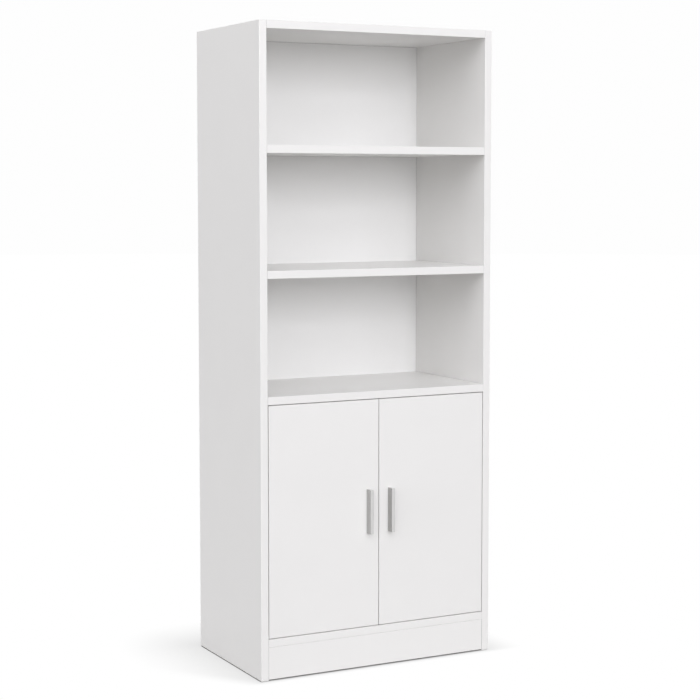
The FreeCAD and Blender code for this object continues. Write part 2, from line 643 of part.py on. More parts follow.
def make_cam_joints():
    """Cams, their bolts and caps, and the dowels beside them."""
    cam = new_body("CamLock")
    revolve(cam, [("0", "-cam_cap_thickness"), ("cam_diameter / 2", "-cam_cap_thickness"),
                  ("cam_diameter / 2", "-cam_depth"), ("0", "-cam_depth")])
    throat = new_sketch(cam, "YZ", "bolt_head_length / 4")
    circle(throat, "0", "-board_thickness / 2", "bolt_head_diameter + 4 * fit_play")
    pocket(cam, throat, "cam_diameter")
    cross_recess(cam, "-cam_cap_thickness", "cam_diameter / 2")

    bolt = new_body("CamBolt")
    neck = "cam_end_distance - cam_diameter / 2"
    ball = "cam_end_distance - bolt_head_length"
    revolve(bolt, [("0", "-bolt_thread_length"), ("bolt_thread_diameter / 2 - 1",
                                                  "-bolt_thread_length"),
                   ("bolt_thread_diameter / 2", "1 - bolt_thread_length"),
                   ("bolt_thread_diameter / 2", "0"), ("bolt_shank_diameter / 2", "0"),
                   ("bolt_shank_diameter / 2", neck), ("bolt_neck_diameter / 2", neck),
                   ("bolt_neck_diameter / 2", ball), ("bolt_head_diameter / 2", ball),
                   ("bolt_head_diameter / 2", "cam_end_distance - 1"),
                   ("bolt_head_diameter / 2 - 1", "cam_end_distance"),
                   ("0", "cam_end_distance")])

    dowel = new_body("Dowel")
    revolve(dowel, [("0", "0"), ("dowel_diameter / 2 - 1", "0"), ("dowel_diameter / 2", "1"),
                    ("dowel_diameter / 2", "dowel_length - 1"),
                    ("dowel_diameter / 2 - 1", "dowel_length"), ("0", "dowel_length")])

    cap = new_body("CamCap")
    revolve(cap, [("0", "0"), ("0", "-cam_cap_thickness"),
                  ("cam_diameter / 2", "-cam_cap_thickness"), ("cam_diameter / 2", "0")])

    cams, bolts, dowels, caps = [], [], [], []
    for level, face in FIXED_PANELS.values():
        middle = f"{level} + board_thickness / 2"
        cam_face = f"{level} + board_thickness" if face == UP else level
        for inner, sign, inward in (("-inner_width / 2", "+", RIGHTWARD),
                                    ("inner_width / 2", "-", LEFTWARD)):
            for row in CAM_ROWS:
                x = f"{inner} {sign} cam_end_distance"
                cams.append((x, f"front_y + {row}", cam_face, face, inward))
                caps.append((x, f"front_y + {row}", cam_face, face))
                bolts.append((inner, f"front_y + {row}", middle, inward))
            outward_end = f"{inner} {'-' if sign == '+' else '+'} dowel_seat"
            for row in DOWEL_ROWS:
                dowels.append((outward_end, f"front_y + {row}", middle, inward))
    for inner, sign, inward in (("-inner_width / 2", "-", RIGHTWARD),
                                ("inner_width / 2", "+", LEFTWARD)):
        for height in PLINTH_DOWEL_HEIGHTS:
            dowels.append((f"{inner} {sign} dowel_seat", "front_y + plinth_thickness / 2",
                           f"plinth_floor_gap + {height}", inward))
    for x in PLINTH_DOWEL_COLUMNS:
        dowels.append((f"{x} - inner_width / 2", "front_y + plinth_thickness / 2",
                       "bottom_panel_level + dowel_seat", DOWN))
    make_cam_group(cam, cams)
    group("cam_bolts", bolt, bolts)
    group("wooden_dowels", dowel, dowels)
    group("cam_cover_caps", cap, caps)


def make_cam_group(cam, spots):
    """The cams, each with its throat open towards its own bolt."""
    copies = []
    for x, y, z, face, inward in spots:
        copy = doc.addObject("App::Link", "CamLockCopy")
        copy.LinkedObject = cam
        closed_side = FreeCAD.Vector(*inward)
        axis = FreeCAD.Vector(*face)
        turn = FreeCAD.Rotation(closed_side, axis.cross(closed_side), axis, "ZXY")
        copy.Placement = FreeCAD.Placement(FreeCAD.Vector(), turn)
        place(copy, x, y, z)
        copies.append(copy)
    compound = doc.addObject("Part::Compound", "CamLockGroup")
    compound.Links = copies
    node(compound, "cam_locks")


def make_back_screws():
    """The screws that hold the back panel to the rear edges of the shelves."""
    screw = make_screw("BackScrew", "back_screw_diameter", "back_screw_length",
                       "small_head_diameter", "small_head_height")
    spots = []
    for level in BACK_SCREW_LEVELS:
        for x in BACK_SCREW_COLUMNS:
            spots.append((f"{x} - inner_width / 2", "front_y + inner_depth + back_thickness",
                          f"{level} + board_thickness / 2", BACKWARD))
    group("back_panel_screws", screw, spots)


def make_shelf_pins():
    """The four pins under the inner shelf."""
    pin = new_body("ShelfPin")
    revolve(pin, [("0", "-pin_hole_depth"), ("pin_hole_diameter / 2", "-pin_hole_depth"),
                  ("pin_hole_diameter / 2", "0"), ("pin_head_diameter / 2", "0"),
                  ("pin_head_diameter / 2", "pin_head_length - 1"),
                  ("pin_head_diameter / 2 - 1", "pin_head_length"), ("0", "pin_head_length")])
    spots = []
    for wall, inward in (("-inner_width / 2", RIGHTWARD), ("inner_width / 2", LEFTWARD)):
        for row in ("pin_row_front", "pin_row_rear"):
            spots.append((wall, f"front_y + {row}", "pin_level", inward))
    group("shelf_pins", pin, spots)


def make_glides():
    """The nailed discs that the side panels stand on."""
    glide = new_body("Glide")
    nail_end = "glide_height + glide_nail_length"
    revolve(glide, [("0", "0"), ("glide_diameter / 2 - 1", "0"), ("glide_diameter / 2", "1"),
                    ("glide_diameter / 2", "glide_height"),
                    ("glide_nail_diameter / 2", "glide_height"),
                    ("glide_nail_diameter / 2", f"{nail_end} - glide_nail_diameter"),
                    ("0", nail_end)])
    middle = "case_width / 2 - board_thickness / 2"
    spots = []
    for x in (f"-({middle})", middle):
        for y in ("glide_inset", "case_depth - glide_inset"):
            spots.append((x, f"front_y + {y}", "0", UP))
    group("floor_glides", glide, spots)


# ---------------------------------------------------------------- doors and handles

def make_door():
    """Left door, seen from the lower front corner at its hinges."""
    body = new_body("Door")
    outline = new_sketch(body, "XY")
    rectangle(outline, "0", "0", "door_width", "door_thickness")
    board = pad(body, outline, "door_height")
    rear = value("door_thickness")
    fillet(body, board, "edge_radius",
           lambda edge: lies_at(edge, "Y", 0) or lies_at(edge, "Y", rear))

    cups = new_sketch(body, "XZ", "-door_thickness")
    screws = new_sketch(body, "XZ", "-door_thickness")
    cup_x = "cup_edge_distance + cup_diameter / 2"
    for z in ("hinge_end_distance", "door_height - hinge_end_distance"):
        circle(cups, cup_x, z, "cup_diameter")
        for side in ("+", "-"):
            circle(screws, f"{cup_x} + cup_screw_offset", f"{z} {side} cup_screw_spacing / 2",
                   "cup_screw_diameter + 2 * fit_play")
    pocket(body, cups, "cup_depth", reverse=True)
    pocket(body, screws, "cup_screw_length - flange_thickness + fit_play", reverse=True)

    handle_holes = new_sketch(body, "XZ", "-door_thickness")
    for side in ("+", "-"):
        circle(handle_holes, "door_width - handle_edge_distance",
               f"handle_level {side} handle_screw_spacing / 2", "handle_screw_hole")
    pocket(body, handle_holes, "door_thickness", reverse=True)

    strike_hole = new_sketch(body, "XZ", "-door_thickness")
    circle(strike_hole, "strike_middle", "strike_bottom + strike_screw_inset",
           "wood_screw_diameter + 2 * fit_play")
    pocket(body, strike_hole, "wood_screw_length - strike_thickness + fit_play", reverse=True)

    place(body, "door_left", "front_y", "door_bottom")
    node(body, "left_door")
    mirrored(body, "right_door")


def make_handle():
    """Bar handle with a finger groove along each flank, and its two screws."""
    body = new_body("Handle")
    outline = new_sketch(body, "XY")
    rectangle(outline, "0", "0", "handle_width", "handle_projection")
    pad(body, outline, "handle_length")
    grooves = new_sketch(body, "XY")
    reach = "handle_groove_radius - handle_groove_depth"
    for x in (f"-({reach})", f"handle_width + {reach}"):
        circle(grooves, x, "handle_projection / 2", "2 * handle_groove_radius")
    waisted = pocket(body, grooves, "handle_length", reverse=True)
    front = fillet(body, waisted, "handle_front_radius",
                   lambda edge: lies_at(edge, "Y", 0) and edge.BoundBox.ZLength > NEAR)
    top, foot = value("handle_length"), value("handle_projection")
    fillet(body, front, "handle_end_radius",
           lambda edge: (lies_at(edge, "Z", 0) or lies_at(edge, "Z", top))
           and not lies_at(edge, "Y", foot))
    bores = new_sketch(body, "XZ", "-handle_projection")
    for z in ("handle_foot", "handle_length - handle_foot"):
        circle(bores, "handle_width / 2", z, "handle_screw_diameter + 2 * fit_play")
    pocket(body, bores, "handle_screw_grip + fit_play", reverse=True)
    middle = "-(door_middle_gap / 2 + handle_edge_distance)"
    place(body, f"{middle} - handle_width / 2", "front_y - handle_projection", "handle_bottom")
    node(body, "left_handle")
    mirrored(body, "right_handle")

    screw = make_screw("HandleScrew", "handle_screw_diameter",
                       "door_thickness + handle_screw_grip", "handle_screw_head",
                       "handle_screw_head_height")
    spots = [(middle, "front_y + door_thickness", f"handle_bottom + {z}", BACKWARD)
             for z in ("handle_foot", "handle_length - handle_foot")]
    mirrored(group("left_handle_screws", screw, spots), "right_handle_screws")


# ---------------------------------------------------------------- concealed hinges
# Each piece is drawn from the side panel's inner face, the front plane and the hinge's middle.

def make_hinge_cup(place_name, level):
    """The cup in the door, with a flange on the door's rear face."""
    body = new_body("HingeCup")
    bowl = new_sketch(body, "XZ", "-door_thickness")
    circle(bowl, "cup_middle", "0", "cup_diameter - 2 * fit_play")
    pad(body, bowl, "cup_depth")
    plate = new_sketch(body, "XZ", "-door_thickness")
    rectangle(plate, "cup_middle - flange_width / 2", "-flange_height / 2",
              "flange_width", "flange_height")
    flange = pad(body, plate, "flange_thickness", reverse=True)
    left = value("cup_middle - flange_width / 2")
    right = value("cup_middle + flange_width / 2")
    fillet(body, flange, "flange_corner_radius",
           lambda edge: (lies_at(edge, "X", left) or lies_at(edge, "X", right))
           and edge.BoundBox.ZLength < NEAR)

    slot = new_sketch(body, "XZ", "-(door_thickness + flange_thickness)")
    rectangle(slot, "cup_middle - cup_slot_length / 2", "-(arm_width / 2 + cup_slot_play)",
              "cup_slot_length", "arm_width + 2 * cup_slot_play")
    pocket(body, slot, "flange_thickness + cup_depth - cup_floor", reverse=True)
    pin_hole = new_sketch(body, "XY", "-pin_half_length")
    circle(pin_hole, "pivot_x", "pivot_depth", "hinge_pin_diameter")
    pocket(body, pin_hole, "2 * pin_half_length", reverse=True)
    holes = new_sketch(body, "XZ", "-(door_thickness + flange_thickness)")
    for side in ("", "-"):
        circle(holes, "cup_middle + cup_screw_offset", f"{side}cup_screw_spacing / 2",
               "cup_screw_diameter + 2 * fit_play")
    pocket(body, holes, "flange_thickness", reverse=True)
    place(body, "-inner_width / 2", "front_y", level)
    node(body, f"left_{place_name}_hinge_cup")
    mirrored(body, f"right_{place_name}_hinge_cup")


def make_hinge_pin(place_name, level):
    """The pin that the cup turns on."""
    body = new_body("HingePin")
    section = new_sketch(body, "XY", "-pin_half_length")
    circle(section, "pivot_x", "pivot_depth", "hinge_pin_diameter")
    pad(body, section, "2 * pin_half_length")
    place(body, "-inner_width / 2", "front_y", level)
    node(body, f"left_{place_name}_hinge_pin")
    mirrored(body, f"right_{place_name}_hinge_pin")


def make_hinge_arm(place_name, level):
    """The bent arm: an eye on the pin, round the door's edge, to the mounting plate."""
    body = new_body("HingeArm")
    outline = new_sketch(body, "XY", "-arm_width / 2")
    near, far = "pivot_depth + arm_thickness / 2", "pivot_depth - arm_thickness / 2"
    leg, leg_outer = "arm_leg", "arm_leg + arm_thickness"
    cross, cross_outer = "arm_back", "arm_back + arm_thickness"
    bar, bar_outer = "plate_height", "plate_height + arm_bar_thickness"
    polygon(outline, [("pivot_x", far), (leg_outer, far), (leg_outer, cross_outer),
                      (bar_outer, cross_outer), (bar_outer, "arm_end_distance"),
                      (bar, "arm_end_distance"), (bar, cross), (leg, cross), (leg, near),
                      ("pivot_x", near)])
    strip = pad(body, outline, "arm_width")
    inner_bends = [(leg, cross), (leg, near), (bar_outer, cross_outer)]
    outer_bends = [(leg_outer, cross_outer), (leg_outer, far), (bar, cross)]
    bent = fillet(body, strip, "arm_bend_radius", stands_at(inner_bends))
    bent = fillet(body, bent, "arm_bend_radius + arm_thickness", stands_at(outer_bends))

    eye = new_sketch(body, "XY", "-arm_width / 2")
    circle(eye, "pivot_x", "pivot_depth", "2 * eye_radius")
    pad(body, eye, "arm_width")
    bore = new_sketch(body, "XY", "-arm_width / 2")
    circle(bore, "pivot_x", "pivot_depth", "hinge_pin_diameter + 2 * hinge_pin_play")
    pocket(body, bore, "arm_width", reverse=True)
    holes = new_sketch(body, "YZ", "plate_height + arm_bar_thickness")
    for y in ("arm_screw_rear", "arm_screw_rear - arm_screw_spacing"):
        circle(holes, y, "0", "arm_screw_diameter + 2 * fit_play")
    pocket(body, holes, "arm_bar_thickness")
    place(body, "-inner_width / 2", "front_y", level)
    node(body, f"left_{place_name}_hinge_arm")
    mirrored(body, f"right_{place_name}_hinge_arm")


def stands_at(spots):
    """A test for edges that stand along Z at one of the (x, y) spots."""
    places = [(value(x), value(y)) for x, y in spots]
    return lambda edge: any(lies_at(edge, "X", x) and lies_at(edge, "Y", y) for x, y in places)


def make_mounting_plate(place_name, level):
    """The cross-shaped plate on the side panel that carries the arm."""
    body = new_body("MountingPlate")
    ridge = new_sketch(body, "YZ")
    rectangle(ridge, "plate_setback - plate_ridge_length / 2", "-plate_ridge_width / 2",
              "plate_ridge_length", "plate_ridge_width")
    pad(body, ridge, "plate_height")
    wings = new_sketch(body, "YZ")
    rectangle(wings, "plate_setback - plate_wing_width / 2", "-plate_wing_height / 2",
              "plate_wing_width", "plate_wing_height")
    pad(body, wings, "plate_wing_thickness")
    holes = new_sketch(body, "YZ", "plate_wing_thickness")
    for side in ("", "-"):
        circle(holes, "plate_setback", f"{side}plate_screw_spacing / 2",
               "plate_screw_diameter + 2 * fit_play")
    pocket(body, holes, "plate_wing_thickness")
    bores = new_sketch(body, "YZ", "plate_height")
    for y in ("arm_screw_rear", "arm_screw_rear - arm_screw_spacing"):
        circle(bores, y, "0", "arm_screw_diameter + 2 * fit_play")
    pocket(body, bores, "arm_screw_length - arm_bar_thickness + fit_play")
    place(body, "-inner_width / 2", "front_y", level)
    node(body, f"left_{place_name}_mounting_plate")
    mirrored(body, f"right_{place_name}_mounting_plate")


def make_hinge_screws():
    """Cup screws on the doors, plate screws and arm screws on the case."""
    cup_screw = make_screw("CupScrew", "cup_screw_diameter", "cup_screw_length",
                           "small_head_diameter", "small_head_height")
    plate_screw = make_screw("PlateScrew", "plate_screw_diameter", "plate_screw_length",
                             "small_head_diameter", "small_head_height")
    arm_screw = make_screw("ArmScrew", "arm_screw_diameter", "arm_screw_length",
                           "small_head_diameter", "small_head_height")
    on_cups, on_plates, on_arms = [], [], []
    for level in HINGE_LEVELS.values():
        for side in ("+", "-"):
            on_cups.append(("cup_middle + cup_screw_offset - inner_width / 2",
                            "front_y + door_thickness + flange_thickness",
                            f"{level} {side} cup_screw_spacing / 2", BACKWARD))
        for wall, away, inward in (("-inner_width / 2", "+", RIGHTWARD),
                                   ("inner_width / 2", "-", LEFTWARD)):
            for side in ("+", "-"):
                on_plates.append((f"{wall} {away} plate_wing_thickness",
                                  "front_y + plate_setback",
                                  f"{level} {side} plate_screw_spacing / 2", inward))
            for y in ("arm_screw_rear", "arm_screw_rear - arm_screw_spacing"):
                on_arms.append((f"{wall} {away} (plate_height + arm_bar_thickness)",
                                f"front_y + {y}", level, inward))
    mirrored(group("left_cup_screws", cup_screw, on_cups), "right_cup_screws")
    group("mounting_plate_screws", plate_screw, on_plates)
    group("hinge_arm_screws", arm_screw, on_arms)


# ---------------------------------------------------------------- magnetic catch

def make_catch():
    """A twin magnetic catch under the shelf over the doors, and its strike plates."""
    housing = new_body("CatchHousing")
    outline = new_sketch(housing, "XY")
    rectangle(outline, "0", "0", "catch_width", "catch_depth")
    pad(housing, outline, "catch_height")
    seats = new_sketch(housing, "XZ")
    seat_bottom = "catch_height - magnet_drop - magnet_height / 2"
    for side in ("-", "+"):
        rectangle(seats, f"catch_width / 2 {side} magnet_middle - magnet_width / 2",
                  seat_bottom, "magnet_width", "magnet_height")
    pocket(housing, seats, "magnet_depth - magnet_stand")
    holes = new_sketch(housing, "XY")
    for side in ("-", "+"):
        circle(holes, f"catch_width / 2 {side} catch_screw_spacing / 2", "catch_depth / 2",
               "wood_screw_diameter + 2 * fit_play")
    pocket(housing, holes, "catch_height", reverse=True)
    place(housing, "-catch_width / 2", "front_y + catch_front + magnet_stand",
          "cabinet_shelf_level - catch_height")
    node(housing, "catch_housing")

    magnet = doc.addObject("Part::Box", "Magnet")
    bind(magnet, "Length", "magnet_width")
    bind(magnet, "Width", "magnet_depth")
    bind(magnet, "Height", "magnet_height")
    group("catch_magnets", magnet,
          [(f"{side}magnet_middle - magnet_width / 2", "front_y + catch_front",
            "cabinet_shelf_level - magnet_drop - magnet_height / 2", UP)
           for side in ("", "-")])

    catch_screw = make_screw("CatchScrew", "wood_screw_diameter",
                             "catch_height + catch_screw_grip", "small_head_diameter",
                             "small_head_height")
    group("catch_screws", catch_screw,
          [(f"{x} - inner_width / 2", "front_y + catch_front + magnet_stand + catch_depth / 2",
            "cabinet_shelf_level - catch_height", DOWN) for x in CATCH_SCREW_COLUMNS])

    strike = new_body("StrikePlate")
    face = new_sketch(strike, "XZ")
    rectangle(face, "0", "0", "strike_width", "strike_height")
    pad(strike, face, "strike_thickness", reverse=True)
    hole = new_sketch(strike, "XZ")
    circle(hole, "strike_width / 2", "strike_screw_inset",
           "wood_screw_diameter + 2 * fit_play")
    pocket(strike, hole, "strike_thickness")
    place(strike, "door_left + strike_middle - strike_width / 2", "front_y + door_thickness",
          "door_bottom + strike_bottom")
    node(strike, "left_strike_plate")
    mirrored(strike, "right_strike_plate")

    strike_screw = make_screw("StrikeScrew", "wood_screw_diameter", "wood_screw_length",
                              "small_head_diameter", "small_head_height")
    spot = ("door_left + strike_middle", "front_y + door_thickness + strike_thickness",
            "door_bottom + strike_bottom + strike_screw_inset", BACKWARD)
    mirrored(group("left_strike_screw", strike_screw, [spot]), "right_strike_screw")


# ---------------------------------------------------------------- assembly, tests, export

def make_bookcase():
    make_side_panel()
    make_shelves()
    make_inner_shelf()
    make_plinth()
    make_back_panel()
    make_cam_joints()
    make_back_screws()
    make_shelf_pins()
    make_glides()
    make_door()
    make_handle()
    for place_name, level in HINGE_LEVELS.items():
        make_hinge_cup(place_name, level)
        make_hinge_pin(place_name, level)
        make_hinge_arm(place_name, level)
        make_mounting_plate(place_name, level)
    make_hinge_screws()
    make_catch()
    doc.recompute()


def test_model():
    """Stop where a feature failed, cut nothing, or left a part that isn't sound."""
    for thing in doc.Objects:
        if "Invalid" in thing.State or "Error" in thing.State:
            raise RuntimeError(f"{thing.Label} failed: {thing.State}")
        if thing.isDerivedFrom("PartDesign::Pocket"):
            before = thing.BaseFeature.Shape.Volume
            if before - thing.Shape.Volume < NEAR:
                raise RuntimeError(f"{thing.Name} cuts nothing")
    for thing in PARTS:
        if thing.Shape.isNull() or not thing.Shape.isValid():
            raise RuntimeError(f"{thing.Label} has no sound shape")


def write_parts():
    """Write each sub-part to the file that its label names."""
    os.makedirs("parts", exist_ok=True)
    for thing in PARTS:
        thing.Shape.exportStep(f"parts/{thing.Label}.step")


make_bookcase()
test_model()
write_parts()
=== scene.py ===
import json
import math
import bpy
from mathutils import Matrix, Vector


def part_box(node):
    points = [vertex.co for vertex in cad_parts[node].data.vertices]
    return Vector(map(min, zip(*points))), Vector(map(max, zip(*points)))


bl_info = {
    "name": "Bookcase with Cabinet Doors",
    "version": (1, 0, 0),
    "blender": (4, 5, 0),
    "location": "3D View > Sidebar > Bookcase",
    "description": "Finishes and a studio for a white bookcase with two cabinet doors",
    "category": "Object",
}

import bmesh
import bpy
from bpy.props import FloatProperty, FloatVectorProperty, PointerProperty
from mathutils import Vector

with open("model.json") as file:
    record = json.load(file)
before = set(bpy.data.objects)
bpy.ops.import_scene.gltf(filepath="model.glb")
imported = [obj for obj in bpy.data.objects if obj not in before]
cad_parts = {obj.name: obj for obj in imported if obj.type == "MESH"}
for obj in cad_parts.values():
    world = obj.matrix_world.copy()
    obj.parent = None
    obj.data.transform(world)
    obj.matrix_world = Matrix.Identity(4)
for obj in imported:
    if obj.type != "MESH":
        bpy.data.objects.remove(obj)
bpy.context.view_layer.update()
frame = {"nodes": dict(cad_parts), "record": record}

# The frame is in metres: X to the right, Y to the back, Z up, with the floor at Z = 0.
MM = 0.001

SIDE_PANELS = ("left_side_panel", "right_side_panel")
UPPER_PANELS = ("top_panel", "upper_shelf", "middle_shelf", "cabinet_top_shelf")
CASE_PANELS = (*UPPER_PANELS, "bottom_panel")
DOORS = ("left_door", "right_door")
HANDLES = ("left_handle", "right_handle")

# How bright the thin lines are as a share of the white around them: the glue line along
# the banding; the joints inside the case, which are painted shade in the corners where
# boards meet; the joints on the front, each for itself, which are seam lines with painted
# shade, much darker on the right than on the left; and the line where the back panel
# meets a board, which is a painted shadow.
GLUE_LINE = 0.72
INSIDE_JOINT_SHADE = 0.4
PANEL_LEFT_JOINT_SHADE, PANEL_RIGHT_JOINT_SHADE = 0.95, 0.78
PLINTH_LEFT_JOINT_SHADE, PLINTH_RIGHT_JOINT_SHADE, PLINTH_TOP_JOINT_SHADE = 0.97, 0.25, 0.92
GROOVE_SHADE = 0.7

# Sizes in metres of the clouds and patches in the finishes.
BOARD_CLOUDS = 0.12
PAINT_CLOUDS = 0.15
PLASTIC_CLOUDS = 0.02
FIBRE_PATCHES = 0.035
# Share of the fine fibres in the pattern of bare hardboard; the patches have the rest.
FIBRE_SHARE = 0.6
# How bright the lacquer's drawn lines are as a share of the grey around them, and the
# share of the fine flakes that is added to their relief.
DRAWN_LINE = 0.92
FLAKE_SHARE = 0.3

# How fast the floor's painted soft shadow fades on each side, compared with the left side.
SHADOW_RIGHT, SHADOW_BEHIND, SHADOW_BEFORE = 2.0, 0.85, 9.0
# How steeply it fades near the case.
SHADOW_FADE = 1.4
# Where it starts and where it is whole, counted backwards from the case's front edge,
# and how much further back both are for each metre to the left.
SHADOW_START, SHADOW_WHOLE = -90 * MM, 40 * MM
SHADOW_SLANT = 1.3
# Where the floor under the case starts to be dark and is wholly dark, counted likewise.
UNDER_START, UNDER_WHOLE = -2 * MM, 14 * MM

FLOOR_RADIUS = 30.0
FLOOR_TEXTURE = 4 * MM
SURROUND_WHITE = (0.99, 0.99, 0.99)

# Each lamp's name, its turn to the right from straight ahead and its height, both in
# degrees, and the length of its sides in metres. They all point at the middle.
MIDDLE = Vector((0.0, 0.0, 0.9))
LAMP_DISTANCE = 20.0
LAMP_COLOR = (1.0, 1.0, 1.028)
LAMPS = (
    ("front", -4, 13, 8.0),
    ("key", -35, 37, 14.0),
    ("high", 0, 48, 14.0),
    ("right", 20, 14, 6.0),
    ("left", -90, 12, 8.0),
    ("corner", -64, 13, 6.0),
    ("rear", 150, 28, 12.0),
    ("side", 98, 12, 8.0),
)

SENSOR_WIDTH = 36.0
NEAREST_SEEN, FARTHEST_SEEN = 0.1, 200.0


# ---------------------------------------------------------------- settings

def color(name, description, default):
    """A colour that the user can change, written as linear red, green and blue."""
    return FloatVectorProperty(
        name=name, description=description, default=default, size=3,
        subtype="COLOR", min=0.0, max=1.0)


def share(name, description, default):
    """A number from 0 to 1 that the user can change."""
    return FloatProperty(
        name=name, description=description, default=default,
        subtype="FACTOR", min=0.0, max=1.0)


def length(name, description, default):
    """A length in metres that the user can change."""
    return FloatProperty(
        name=name, description=description, default=default,
        subtype="DISTANCE", unit="LENGTH", min=0.0, precision=5)


def power(name, description, default):
    """The power of one lamp in watts."""
    return FloatProperty(
        name=name, description=description, default=default,
        subtype="POWER", unit="POWER", min=0.0)


class MelamineSettings(bpy.types.PropertyGroup):
    """White melamine-faced board and its edge banding."""
    face: color("Face", "White of the melamine face", (0.87, 0.863, 0.849))
    banding: color("Banding", "White of the edge banding", (0.872, 0.865, 0.851))
    mottle: share("Mottle", "How much the white varies over a board", 0.012)
    roughness: share("Roughness", "Roughness of the satin face", 0.34)
    grain: length("Grain", "Size of the pebbled texture of the face", 0.9 * MM)
    relief: length("Relief", "Depth of the pebbled texture", 0.005 * MM)
    band_width: length("Band width", "Thickness of the banding seen on a face", 1.1 * MM)
    seam_width: length("Seam width", "Width of the glue line beside the banding", 0.25 * MM)
    joint_width: length("Joint width", "Width of the line where boards meet", 0.8 * MM)


class BackPanelSettings(bpy.types.PropertyGroup):
    """Hardboard that is painted on its front only."""
    paint: color("Paint", "White paint of the front", (0.908, 0.905, 0.898))
    fibre: color("Fibre", "Brown of the bare rear", (0.41, 0.26, 0.145))
    dark_fibre: color("Dark fibre", "Darker fibres of the bare rear", (0.25, 0.15, 0.08))
    fibre_size: length("Fibre size", "Size of the fibres of the bare rear", 1.6 * MM)
    # The width of the painted shadow along each board that meets the back panel.
    groove_shade_width: length("Groove line", "Width of the shade beside a board", 0.8 * MM)


class HandleSettings(bpy.types.PropertyGroup):
    """Silver-grey lacquer of the bar handles, with painted shade on the flanks."""
    front: color("Front", "Silver-grey of the front face", (0.65, 0.645, 0.635))
    # The flanks' darker grey is painted shade, a shaded copy of the front's grey.
    shaded_flank: color("Flank", "Darker grey of the two flanks", (0.43, 0.425, 0.416))
    metal: share("Metal", "Share of metal flakes in the lacquer", 0.3)
    roughness: share("Roughness", "Roughness of the satin finish", 0.36)
    grain: length("Grain", "Spacing of the fine drawn lines", 0.35 * MM)


class MetalSettings(bpy.types.PropertyGroup):
    """Plated steel, cast zinc and magnets."""
    nickel: color("Nickel", "Nickel plating of the hinges", (0.62, 0.60, 0.56))
    zinc: color("Zinc", "Bright zinc plating of the screws", (0.60, 0.61, 0.61))
    casting: color("Casting", "Dull cast zinc of the cams", (0.42, 0.42, 0.43))
    magnet: color("Magnet", "Dark grey of the magnets", (0.045, 0.045, 0.048))
    polish: length("Polish marks", "Spacing of the polishing marks", 0.3 * MM)


class MouldingSettings(bpy.types.PropertyGroup):
    """Small plastic pieces and the wooden dowels."""
    white: color("White plastic", "Cover caps and catch", (0.78, 0.78, 0.77))
    dark: color("Glide plastic", "Floor glides", (0.10, 0.10, 0.10))
    beech: color("Beech", "Dowels", (0.52, 0.36, 0.21))
    beech_grain: color("Beech grain", "Darker grain of the dowels", (0.38, 0.24, 0.13))


class StudioSettings(bpy.types.PropertyGroup):
    """Floor, lamps, surroundings and camera."""
    floor: color("Floor", "Colour of the floor", (0.455, 0.45, 0.438))
    # The floor's soft shadow is painted: its depth and its reach.
    shadow: share("Shadow", "Depth of the soft shadow beside and behind the base", 0.31)
    shadow_reach: length("Shadow reach", "How far the shadow reaches on the left", 0.24)
    surround: FloatProperty(
        name="Surround", description="Strength of the even light from all round",
        default=0.05, min=0.0)
    surround_color: color("Surround colour", "Colour of the even light", (1.0, 0.93, 0.84))
    front: power("Front", "Large lamp straight ahead", 1405.0)
    key: power("Key", "Large lamp high in front on the left", 1225.0)
    high: power("High", "Large lamp high above the front", 900.0)
    right: power("Right", "Smaller lamp low in front on the right", 280.0)
    left: power("Left", "Lamp that lights the left side", 1330.0)
    corner: power("Corner", "Lamp on the left that lights the bays' right walls", 300.0)
    rear: power("Rear", "Weaker lamp behind that lights the back", 850.0)
    side: power("Side", "Weaker lamp that lights the right side", 450.0)
    camera_place: FloatVectorProperty(
        name="Camera place", description="Where the camera stands",
        default=(-2.3142, -4.4607, 1.3586), size=3, subtype="TRANSLATION", unit="LENGTH")
    camera_yaw: FloatProperty(
        name="Camera yaw", description="Turn of the camera to the right",
        default=0.48109, subtype="ANGLE", unit="ROTATION")
    camera_pitch: FloatProperty(
        name="Camera pitch", description="Tilt of the camera downwards",
        default=0.07823, subtype="ANGLE", unit="ROTATION")
    camera_lens: FloatProperty(
        name="Camera lens", description="Focal length in millimetres on a 36 mm frame",
        default=89.46, min=1.0)
    camera_rise: FloatProperty(
        name="Camera rise", description="Vertical lens shift as a share of the frame",
        default=-0.04)


class BookcaseSettings(bpy.types.PropertyGroup):
    """All settings of the bookcase."""
    melamine: PointerProperty(type=MelamineSettings)
    back_panel: PointerProperty(type=BackPanelSettings)
    handle: PointerProperty(type=HandleSettings)
    metal: PointerProperty(type=MetalSettings)
    moulding: PointerProperty(type=MouldingSettings)
    studio: PointerProperty(type=StudioSettings)


# ---------------------------------------------------------------- material building

class Nodes:
    """An emptied node tree, and short ways to add nodes to it."""

    def __init__(self, owner):
        owner.use_nodes = True
        self.tree = owner.node_tree
        self.tree.nodes.clear()

    def add(self, kind, **settings):
        """A node of that kind with its settings."""
        node = self.tree.nodes.new(kind)
        for name, setting in settings.items():
            setattr(node, name, setting)
        return node

    def join(self, source, target):
        """Link a node's output to another node's input."""
        self.tree.links.new(source, target)

    def math(self, operation, *inputs, clamp=False):
        """A math node; each input is a number or a node's output."""
        node = self.add("ShaderNodeMath", operation=operation, use_clamp=clamp)
        for socket, item in zip(node.inputs, inputs):
            if isinstance(item, (int, float)):
                socket.default_value = item
            else:
                self.join(item, socket)
        return node.outputs[0]

    def seen_rays(self):
        """1 for rays that see the surface, also by reflection or through glass, else 0."""
        rays = self.add("ShaderNodeLightPath")
        seen = rays.outputs["Is Camera Ray"]
        for ray in ("Is Glossy Ray", "Is Transmission Ray"):
            seen = self.math("MAXIMUM", seen, rays.outputs[ray])
        return seen


